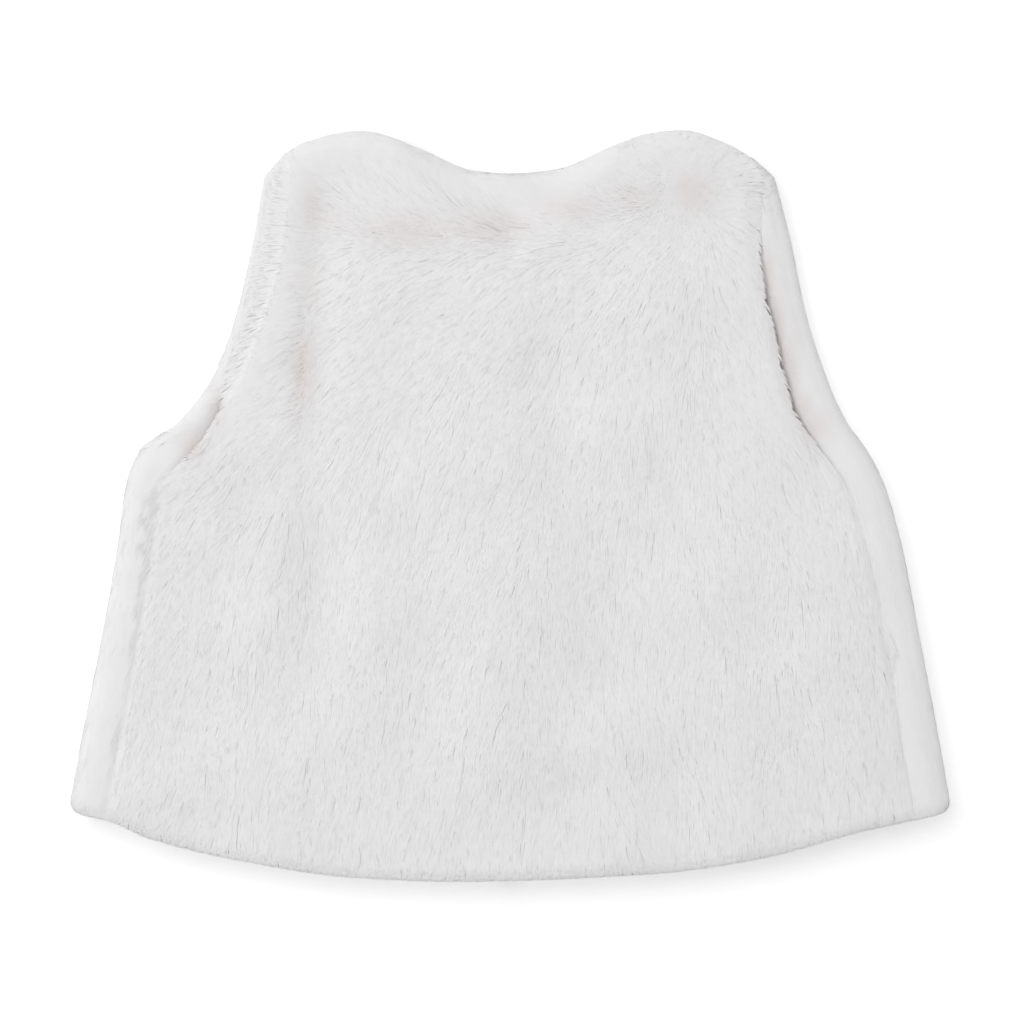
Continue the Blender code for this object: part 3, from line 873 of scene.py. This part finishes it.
def strand_mesh(name, pile, width):
    """One mesh of all the strands: ribbons that end in a point."""
    count = len(pile.centres)
    per_strand = 2 * STRAND_JOINTS + 1
    verts = np.zeros((count, per_strand, 3))
    facing = np.zeros((count, per_strand, 3))
    shade = np.ones((count, per_strand, 4), dtype=np.float32)
    shade[..., 1] = pile.tone[:, None]
    for joint in range(STRAND_JOINTS):
        half = 0.5 * width * WIDTH_PROFILE[joint]
        pair = slice(2 * joint, 2 * joint + 2)
        verts[:, 2 * joint] = pile.centres[:, joint] - pile.sides[:, joint] * half
        verts[:, 2 * joint + 1] = pile.centres[:, joint] + pile.sides[:, joint] * half
        facing[:, pair] = pile.facing[:, joint, None]
        shade[:, pair, 0] = joint / STRAND_JOINTS
        # warm roots and painted shade along each strand
        shade[:, pair, 2] = pile.warm[:, joint, None]
    verts[:, -1] = pile.centres[:, -1]
    facing[:, -1] = pile.facing[:, -1]
    shade[:, -1, 2] = pile.warm[:, -1]

    loops = []
    sizes = []
    for joint in range(STRAND_JOINTS - 1):
        low = 2 * joint
        loops += [low, low + 1, low + 3, low + 2]
        sizes.append(4)
    loops += [per_strand - 3, per_strand - 2, per_strand - 1]
    sizes.append(3)
    first = np.arange(count)[:, None] * per_strand
    loop_verts = (first + np.array(loops)[None]).ravel()
    face_sizes = np.tile(sizes, count)
    face_starts = np.concatenate(([0], np.cumsum(face_sizes)[:-1]))

    mesh = bpy.data.meshes.new(name)
    mesh.vertices.add(count * per_strand)
    mesh.loops.add(loop_verts.size)
    mesh.polygons.add(face_sizes.size)
    mesh.vertices.foreach_set("co", (verts * MM).ravel().astype(np.float32))
    mesh.loops.foreach_set("vertex_index", loop_verts.astype(np.int32))
    mesh.polygons.foreach_set("loop_start", face_starts.astype(np.int32))
    mesh.update(calc_edges=True)
    add_masks(mesh, shade)

    # Each strand has a cell of its own in the map that finishes are baked to
    grid = int(np.ceil(np.sqrt(count)))
    cell = np.arange(count)
    corner = np.column_stack((cell % grid, cell // grid))[:, None, :]
    in_cell = np.zeros((per_strand, 2))
    for joint in range(STRAND_JOINTS):
        level = CELL_END + (1.0 - 2.0 * CELL_END) * joint / STRAND_JOINTS
        in_cell[2 * joint] = (CELL_SIDE, level)
        in_cell[2 * joint + 1] = (1.0 - CELL_SIDE, level)
    in_cell[-1] = (0.5, 1.0 - CELL_END)
    uv = (corner + in_cell[None]) / grid
    loop_uv = uv.reshape(-1, 2)[loop_verts]
    layer = mesh.uv_layers.new(name="OFBake")
    layer.data.foreach_set("uv", loop_uv.ravel().astype(np.float32))
    mesh.shade_smooth()
    mesh.validate()
    mesh.normals_split_custom_set_from_vertices(facing.reshape(-1, 3))
    return mesh


OUTER_FINISH = 1          # a wall's second material is the one on its outer side


def wall_mesh(name, inner, outer):
    """A closed wall between two grids of points."""
    row_count, column_count = inner.shape[:2]
    bm = bmesh.new()
    bmesh.ops.create_grid(bm, x_segments=column_count - 1, y_segments=row_count - 1, size=0.5)
    inner_verts = list(bm.verts)
    grown = bmesh.ops.extrude_face_region(bm, geom=bm.faces[:], use_keep_orig=True)
    outer_verts = [item for item in grown["geom"] if isinstance(item, bmesh.types.BMVert)]
    for item in grown["geom"]:
        if isinstance(item, bmesh.types.BMFace):
            item.material_index = OUTER_FINISH
    for verts, points in ((inner_verts, inner), (outer_verts, outer)):
        for vert in verts:
            column = round((vert.co.x + 0.5) * (column_count - 1))
            row = round((vert.co.y + 0.5) * (row_count - 1))
            vert.co = points[row, column] * MM
    bmesh.ops.recalc_face_normals(bm, faces=bm.faces[:])
    if bm.calc_volume(signed=True) < 0.0:
        bmesh.ops.reverse_faces(bm, faces=bm.faces[:])
    mesh = bpy.data.meshes.new(name)
    bm.to_mesh(mesh)
    bm.free()
    mesh.shade_smooth()
    return mesh


def add_piece(name, mesh, materials):
    for material in materials:
        mesh.materials.append(material)
    piece = bpy.data.objects.new(name, mesh)
    bpy.context.scene.collection.objects.link(piece)
    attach(piece, BODY)
    return piece


# Materials
ROOT_COLOUR = (0.91, 0.905, 0.905, 1.0)
GREY_COLOUR = (0.87, 0.87, 0.88, 1.0)
PALE_COLOUR = (0.955, 0.955, 0.96, 1.0)
# the next two colours are warm roots and painted shade: warmer and darker where the pile parts and
# in the armhole gaps
WARM_SHADED_COLOUR = (0.83, 0.79, 0.775, 1.0)
WARM_SHADED_ROOT = (0.84, 0.74, 0.70, 1.0)
BACKING_COLOUR = (0.66, 0.56, 0.50, 1.0)
BACKING_DARK = (0.56, 0.46, 0.41, 1.0)


def new_material(name):
    material = bpy.data.materials.new(name)
    material.use_nodes = True
    tree = material.node_tree
    return material, tree, tree.nodes["Principled BSDF"]


def mixed(tree, share, first, second):
    """Mix two colours, each a fixed colour or a socket, by a share socket."""
    node = tree.nodes.new("ShaderNodeMix")
    node.data_type = "RGBA"
    colour_sockets = [socket for socket in node.inputs if socket.type == "RGBA"]
    for socket, colour in zip(colour_sockets, (first, second)):
        if isinstance(colour, tuple):
            socket.default_value = colour
        else:
            tree.links.new(colour, socket)
    tree.links.new(share, node.inputs["Factor"])
    return next(socket for socket in node.outputs if socket.type == "RGBA")


def pile_masks(tree):
    read = tree.nodes.new("ShaderNodeAttribute")
    read.attribute_name = "pile"
    split = tree.nodes.new("ShaderNodeSeparateColor")
    tree.links.new(read.outputs["Color"], split.inputs["Color"])
    return split.outputs


def pile_material():
    """White strands, a little darker at the root, each with its own tone. They are warmer and
    darker with painted shade at partings, the ridge under the neck and the armhole gaps, where
    warm roots show too.
    """
    material, tree, shader = new_material("plush_pile")
    along, tone, warm = pile_masks(tree)
    tip = mixed(tree, tone, GREY_COLOUR, PALE_COLOUR)
    # painted shade, warm and darker, on the tips where the pile parts and in the gaps
    tip = mixed(tree, warm, tip, WARM_SHADED_COLOUR)
    root = mixed(tree, warm, ROOT_COLOUR, WARM_SHADED_ROOT)
    rise = tree.nodes.new("ShaderNodeMapRange")
    rise.interpolation_type = "SMOOTHSTEP"
    rise.inputs["From Max"].default_value = 0.5
    tree.links.new(along, rise.inputs["Value"])
    colour = mixed(tree, rise.outputs["Result"], root, tip)
    tree.links.new(colour, shader.inputs["Base Color"])
    shader.inputs["Roughness"].default_value = 0.75
    shader.inputs["Specular IOR Level"].default_value = 0.2
    return material


def fluff_bump(tree, shader, scale, distance):
    """Fine uneven bumps on a cloth surface. Returns the noise they come from."""
    place = tree.nodes.new("ShaderNodeTexCoord")
    noise = tree.nodes.new("ShaderNodeTexNoise")
    noise.inputs["Scale"].default_value = scale
    noise.inputs["Detail"].default_value = 4.0
    tree.links.new(place.outputs["Object"], noise.inputs["Vector"])
    bump = tree.nodes.new("ShaderNodeBump")
    bump.inputs["Strength"].default_value = 0.6
    bump.inputs["Distance"].default_value = distance
    tree.links.new(noise.outputs["Fac"], bump.inputs["Height"])
    tree.links.new(bump.outputs["Normal"], shader.inputs["Normal"])
    return noise.outputs["Fac"]


def undercoat_material():
    """Dense short fluff between the strands, with warm roots and painted shade at partings and the
    armhole gaps.
    """
    material, tree, shader = new_material("plush_undercoat")
    _, _, warm = pile_masks(tree)
    noise = fluff_bump(tree, shader, scale=1200.0, distance=0.0004)
    fluff = mixed(tree, noise, ROOT_COLOUR, GREY_COLOUR)
    colour = mixed(tree, warm, fluff, WARM_SHADED_ROOT)
    tree.links.new(colour, shader.inputs["Base Color"])
    shader.inputs["Roughness"].default_value = 0.9
    return material


def backing_material():
    """Knitted backing cloth on the inside."""
    material, tree, shader = new_material("plush_backing")
    noise = fluff_bump(tree, shader, scale=900.0, distance=0.0006)
    colour = mixed(tree, noise, BACKING_DARK, BACKING_COLOUR)
    tree.links.new(colour, shader.inputs["Base Color"])
    shader.inputs["Roughness"].default_value = 0.9
    return material


# The vest
CLOTH_INSET = 3.2         # the cloth ends this far inside the pile at a free edge
CLOTH_ROW_STEP = 3        # its rows are this much coarser
CLOTH_SHARE = 0.955       # share of the wall that backing and undercoat take up
CLOTH_RISE = 0.028        # and more of it where the pile lies unevenly
SHOULDER_STOP = 0.1       # the fronts' pile surface ends this far from the shoulder seam
SHOULDER_REACH = 8.0      # the fronts' shoulder edges have pile over this width
NECKLINE_REACH = 24.0     # and their necklines over this length
NECKLINE_COLUMNS = 4
TURN_FADE = 6             # columns before and after the turn where the cloth gets thinner
BARE_TURN = 2             # columns of the turn that stay without pile, under the vest
EDGE_FILL = 2.0           # more roots along shoulder seams, armholes and the fronts' hems

# The back's pile is made in bands of like size, from the hem up
Band = namedtuple("Band", "name low high")
BANDS = (
    Band("lower", -200, -62),
    Band("middle", -62, 24),
    Band("upper", 24, 200),
)


def cloth_rows():
    return Rows(even_rows(CLOTH_INSET, SIDE_LENGTH - CLOTH_INSET)[::CLOTH_ROW_STEP])


def cloth_piece(label, inner, outer, materials):
    """A panel's cloth: backing inside and undercoat outside, for one node."""
    name = label + "_cloth"
    mesh = wall_mesh(name, inner, outer)
    places = np.zeros(len(mesh.vertices) * 3, dtype=np.float32)
    mesh.vertices.foreach_get("co", places)
    masks = np.zeros((len(mesh.vertices), 4), dtype=np.float32)
    # warm roots and painted shade on the undercoat
    masks[:, 2] = warmth_and_shade(places.reshape(-1, 3) / MM)
    add_masks(mesh, masks)
    cloth = add_piece(name, mesh, materials)
    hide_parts(label)
    return cloth


def build_back(middle, rng, materials, pile_finish):
    inner, outer = back_points(cloth_rows(), CLOTH_CUT)
    spread = ruffle_spread((outer - middle).reshape(-1, 3)).reshape(outer.shape[:2])
    share = CLOTH_SHARE + CLOTH_RISE * np.minimum(spread, 1.0)
    outer = inner + (outer - inner) * share[..., None]
    cloth = cloth_piece("back", inner - middle, outer - middle, materials)

    rows = Rows(wrapped_rows())
    points = wrap_ends(*back_points(rows, PILE_CUT), neck_too=True)
    for name, side in SIDES:
        points = with_apron(points, OVERHANG, side < 0.0, side, *cover_of(rows, name, side))
    points = hang_at_shoulders(points)
    surface = FurSurface(points - middle, 1.0)
    density = np.ones((surface.rows - 1, surface.columns - 1))
    density[:-RIM_ROWS, :APRON_COLUMNS] = 0.0
    density[:-RIM_ROWS, -APRON_COLUMNS:] = 0.0
    density[-RIM_ROWS:] = EDGE_FILL
    middles = surface.points[:-1, :-1].reshape(-1, 3)
    spread = np.degrees(ruffle_spread(middles)).reshape(density.shape)
    density = density * (1.0 + WHORL_FILL * spread)
    pile = comb(surface, density, BACK_STRANDS, back_angle, back_calm, rng, ragged=True)
    roots = pile.centres[:, 0]
    for band in BANDS:
        in_band = (roots[:, 1] >= band.low) & (roots[:, 1] < band.high)
        for side_name, side in SIDES:
            here = in_band & ((roots[:, 0] > 0.0) == (side > 0.0))
            name = "back_fur_" + band.name + "_" + side_name
            part = Pile(*(values[here] for values in pile))
            add_piece(name, strand_mesh(name, part, BACK_WIDTH), [pile_finish])


def build_front(name, side, middle, rng, materials, pile_finish):
    inner, outer = front_points(cloth_rows(), CLOTH_CUT, name, side)
    lower_columns = inner.shape[1] - TURN_COLUMNS - STRIP_COLUMNS
    share = np.full(inner.shape[1], CLOTH_SHARE)
    share[:lower_columns] = 1.0
    fade = np.linspace(1.0, CLOTH_SHARE, 2 * TURN_FADE)
    share[lower_columns - TURN_FADE:lower_columns + TURN_FADE] = fade
    outer = inner + (outer - inner) * share[None, :, None]
    label = "front_" + name
    cloth = cloth_piece(label, inner - middle, outer - middle, materials)

    places = wrapped_rows()
    rows = Rows(places[places < SIDE_LENGTH - SHOULDER_STOP])
    points = wrap_ends(*front_points(rows, PILE_CUT, name, side), neck_too=False)
    points = with_apron(points, TURN_IN, False, -side)
    surface = FurSurface(points - middle, -side)
    column = np.arange(surface.columns - 1)[None, :]
    row = np.arange(surface.rows - 1)[:, None]
    turned = column >= lower_columns + BARE_TURN
    hem = (row < RIM_ROWS + 1) & (column >= 1)
    shoulder = row > surface.rows - SHOULDER_REACH / ROW_SPACING
    beside_neck = row > surface.rows - NECKLINE_REACH / ROW_SPACING
    neckline = beside_neck & (column < NECKLINE_COLUMNS)
    density = np.where(turned | hem | shoulder | neckline, 1.0, 0.0)
    density[:, -APRON_COLUMNS - 1:] *= EDGE_FILL
    density = density * np.where(hem, EDGE_FILL, 1.0)
    pile = comb(surface, density, FRONT_STRANDS, front_angle(side), front_calm, rng)
    strands = strand_mesh(label + "_fur", pile, FRONT_WIDTH)
    fur = add_piece(label + "_fur", strands, [pile_finish])


def build_vest():
    rng = np.random.default_rng(SEED)
    rows = Rows(wrapped_rows())
    outlines = [back_points(rows, PILE_CUT)[1]]
    for name, side in SIDES:
        outlines.append(front_points(rows, PILE_CUT, name, side)[1])
    every_point = np.vstack([points.reshape(-1, 3) for points in outlines])
    middle = (every_point.min(axis=0) + every_point.max(axis=0)) / 2.0
    middle[2] = 0.0
    materials = [backing_material(), undercoat_material()]
    pile_finish = pile_material()
    build_back(middle, rng, materials, pile_finish)
    for name, side in SIDES:
        build_front(name, side, middle, rng, materials, pile_finish)


# Stage, light and camera
VIEW_WIDTH = 409.6        # shown across the picture, at the outline's height
VIEW_MIDDLE = (0.8, -2.6)
OUTLINE_HEIGHT = 9.0
LENS = 100.0
SENSOR = 36.0
FLOOR_SIZE = 6000.0

LAMP_SIZE = 1.6           # metres
LAMP_ENERGY = 15.4
LAMP_PLACE = (-0.75, 0.6, 1.65)
SKY_STRENGTH = 0.58
FLOOR_GLOW = 0.25


def build_floor():
    mesh = bpy.data.meshes.new("floor")
    half = FLOOR_SIZE / 2.0 * MM
    corners = [(-half, -half, 0.0), (half, -half, 0.0), (half, half, 0.0), (-half, half, 0.0)]
    mesh.from_pydata(corners, [], [(0, 1, 2, 3)])
    material, _, shader = new_material("floor_white")
    shader.inputs["Base Color"].default_value = (0.98, 0.98, 0.98, 1.0)
    shader.inputs["Roughness"].default_value = 0.9
    shader.inputs["Specular IOR Level"].default_value = 0.1
    shader.inputs["Emission Color"].default_value = (1.0, 1.0, 1.0, 1.0)
    shader.inputs["Emission Strength"].default_value = FLOOR_GLOW
    mesh.materials.append(material)
    floor = bpy.data.objects.new("floor", mesh)
    bpy.context.scene.collection.objects.link(floor)


def build_light():
    world = bpy.data.worlds.new("studio")
    world.use_nodes = True
    background = world.node_tree.nodes["Background"]
    background.inputs["Color"].default_value = (1.0, 1.0, 1.0, 1.0)
    background.inputs["Strength"].default_value = SKY_STRENGTH
    bpy.context.scene.world = world
    light = bpy.data.lights.new("soft_box", "AREA")
    light.shape = "SQUARE"
    light.size = LAMP_SIZE
    light.energy = LAMP_ENERGY
    lamp = bpy.data.objects.new("soft_box", light)
    lamp.location = LAMP_PLACE
    lamp.rotation_euler = (-lamp.location).to_track_quat("-Z", "Y").to_euler()
    bpy.context.scene.collection.objects.link(lamp)


def build_camera():
    camera = bpy.data.cameras.new("camera")
    camera.lens = LENS
    camera.sensor_width = SENSOR
    viewer = bpy.data.objects.new("camera", camera)
    distance = LENS / SENSOR * VIEW_WIDTH
    viewer.location = (VIEW_MIDDLE[0] * MM, VIEW_MIDDLE[1] * MM, (distance + OUTLINE_HEIGHT) * MM)
    bpy.context.scene.collection.objects.link(viewer)
    bpy.context.scene.camera = viewer
    bpy.context.scene.view_settings.view_transform = "Standard"


build_floor()
build_light()
build_camera()
build_vest()
